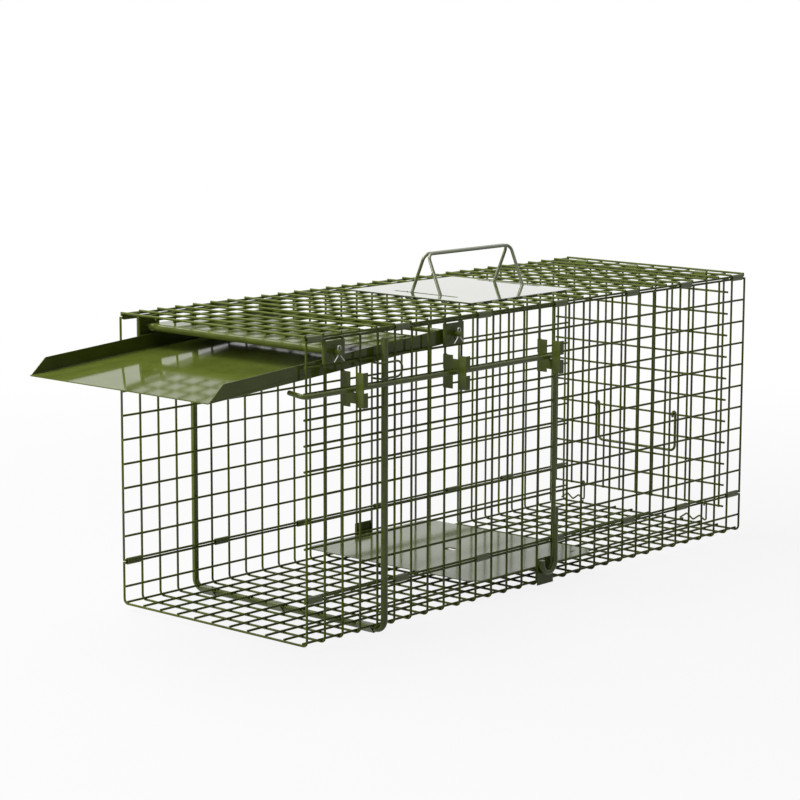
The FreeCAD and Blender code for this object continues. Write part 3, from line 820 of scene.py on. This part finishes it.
class TRAP_OT_stage(bpy.types.Operator):
    """The pale floor, the soft studio light and the camera"""
    bl_idname = "trap.stage"
    bl_label = "Stage"

    def execute(self, context):
        stage = context.scene.trap_stage
        self.camera(context, stage)
        self.floor()
        self.room(context, stage)
        self.soft_box("overhead_box", *OVERHEAD_BOX, stage.key)
        self.soft_box("mouth_box", *MOUTH_BOX, stage.side)
        context.scene.view_settings.view_transform = "Standard"
        return {"FINISHED"}

    def camera(self, context, stage):
        back = Vector((math.sin(stage.azimuth) * math.cos(stage.elevation),
                       -math.cos(stage.azimuth) * math.cos(stage.elevation),
                       math.sin(stage.elevation)))
        data = bpy.data.cameras.new("camera")
        data.sensor_width = SENSOR_WIDTH
        data.lens = stage.lens
        camera = bpy.data.objects.new("camera", data)
        camera.location = CAMERA_AIM + back * stage.distance
        look = back.to_track_quat("Z", "Y").to_matrix()
        camera.rotation_euler = (look @ Matrix.Rotation(stage.roll, 3, "Z")).to_euler()
        context.scene.collection.objects.link(camera)
        context.scene.camera = camera

    def floor(self):
        bm = bmesh.new()
        bmesh.ops.create_grid(bm, x_segments=1, y_segments=1, size=FLOOR_SIZE)
        mesh = bpy.data.meshes.new("floor")
        bm.to_mesh(mesh)
        bm.free()
        floor = bpy.data.objects.new("floor", mesh)
        bpy.context.scene.collection.objects.link(floor)
        material, nodes, links, shader = new_material("pale_floor")
        shader.inputs["Base Color"].default_value = (FLOOR_GREY, FLOOR_GREY, FLOOR_GREY, 1)
        shader.inputs["Roughness"].default_value = 0.9
        shader.inputs["Specular IOR Level"].default_value = 0.0
        place = nodes.new("ShaderNodeTexCoord")
        away = nodes.new("ShaderNodeVectorMath")
        away.operation = "LENGTH"
        share = nodes.new("ShaderNodeMapRange")
        share.interpolation_type = "SMOOTHSTEP"
        share.inputs["From Min"].default_value = FLOOR_WHITE_FROM
        share.inputs["From Max"].default_value = FLOOR_WHITE_TO
        share.inputs["To Min"].default_value = FLOOR_WHITE_NEAR
        share.inputs["To Max"].default_value = 1.0
        path = nodes.new("ShaderNodeLightPath")
        seen = self.camera_or_mirror(nodes, links, path)
        shown = nodes.new("ShaderNodeMath")
        shown.operation = "MULTIPLY"
        white = nodes.new("ShaderNodeEmission")
        mix = nodes.new("ShaderNodeMixShader")
        links.new(place.outputs["Object"], away.inputs[0])
        links.new(away.outputs["Value"], share.inputs["Value"])
        links.new(seen, shown.inputs[0])
        links.new(share.outputs["Result"], shown.inputs[1])
        links.new(shown.outputs["Value"], mix.inputs["Fac"])
        links.new(shader.outputs["BSDF"], mix.inputs[1])
        links.new(white.outputs["Emission"], mix.inputs[2])
        links.new(mix.outputs["Shader"], nodes["Material Output"].inputs["Surface"])
        mesh.materials.append(material)

    def camera_or_mirror(self, nodes, links, path):
        """One where a ray comes from the camera, a reflection or a transmission, else nought."""
        total = path.outputs["Is Camera Ray"]
        for kind in ("Is Glossy Ray", "Is Transmission Ray"):
            either = nodes.new("ShaderNodeMath")
            either.operation = "MAXIMUM"
            links.new(total, either.inputs[0])
            links.new(path.outputs[kind], either.inputs[1])
            total = either.outputs["Value"]
        return total

    def room(self, context, stage):
        world = bpy.data.worlds.new("white_room")
        context.scene.world = world
        world.use_nodes = True
        nodes = world.node_tree.nodes
        links = world.node_tree.links
        light = nodes["Background"]
        light.inputs["Color"].default_value = (1, 1, 1, 1)
        light.inputs["Strength"].default_value = stage.fill
        seen = nodes.new("ShaderNodeBackground")
        seen.inputs["Color"].default_value = (1, 1, 1, 1)
        seen.inputs["Strength"].default_value = 1.0
        path = nodes.new("ShaderNodeLightPath")
        shown = self.camera_or_mirror(nodes, links, path)
        mix = nodes.new("ShaderNodeMixShader")
        links.new(shown, mix.inputs["Fac"])
        links.new(light.outputs["Background"], mix.inputs[1])
        links.new(seen.outputs["Background"], mix.inputs[2])
        links.new(mix.outputs["Shader"], nodes["World Output"].inputs["Surface"])

    def soft_box(self, name, place, aim, size, power):
        data = bpy.data.lights.new(name, "AREA")
        data.shape = "SQUARE"
        data.size = size
        data.energy = power
        lamp = bpy.data.objects.new(name, data)
        lamp.location = place
        lamp.visible_camera = False
        lamp.rotation_euler = (Vector(place) - Vector(aim)).to_track_quat("Z", "Y").to_euler()
        bpy.context.scene.collection.objects.link(lamp)


OPERATORS = (
    TRAP_OT_mesh_panels, TRAP_OT_clips, TRAP_OT_brace, TRAP_OT_cross_rods, TRAP_OT_front_door,
    TRAP_OT_trigger, TRAP_OT_trip_plate, TRAP_OT_handle, TRAP_OT_rear_fittings, TRAP_OT_stage,
)


class TRAP_PT_panel(bpy.types.Panel):
    """Lists the trap's settings and its operators"""
    bl_idname = "TRAP_PT_panel"
    bl_label = "Live catch trap"
    bl_space_type = "VIEW_3D"
    bl_region_type = "UI"
    bl_category = "Trap"

    def draw(self, context):
        scene = context.scene
        for settings in (scene.trap_wires, scene.trap_finish, scene.trap_stage):
            for name in settings.bl_rna.properties.keys():
                if name not in ("rna_type", "name"):
                    self.layout.prop(settings, name)
        for operator in OPERATORS:
            self.layout.operator(operator.bl_idname)


CLASSES = (TrapWires, TrapFinish, TrapStage) + OPERATORS + (TRAP_PT_panel,)


def register():
    for item in CLASSES:
        bpy.utils.register_class(item)
    bpy.types.Scene.trap_wires = PointerProperty(type=TrapWires)
    bpy.types.Scene.trap_finish = PointerProperty(type=TrapFinish)
    bpy.types.Scene.trap_stage = PointerProperty(type=TrapStage)


def unregister():
    del bpy.types.Scene.trap_stage
    del bpy.types.Scene.trap_finish
    del bpy.types.Scene.trap_wires
    for item in reversed(CLASSES):
        bpy.utils.unregister_class(item)


def main():
    register()
    bpy.ops.trap.stage()
    bpy.ops.trap.mesh_panels()
    bpy.ops.trap.clips()
    bpy.ops.trap.brace()
    bpy.ops.trap.cross_rods()
    bpy.ops.trap.front_door()
    bpy.ops.trap.trigger()
    bpy.ops.trap.trip_plate()
    bpy.ops.trap.handle()
    bpy.ops.trap.rear_fittings()


if __name__ == "__main__":
    main()
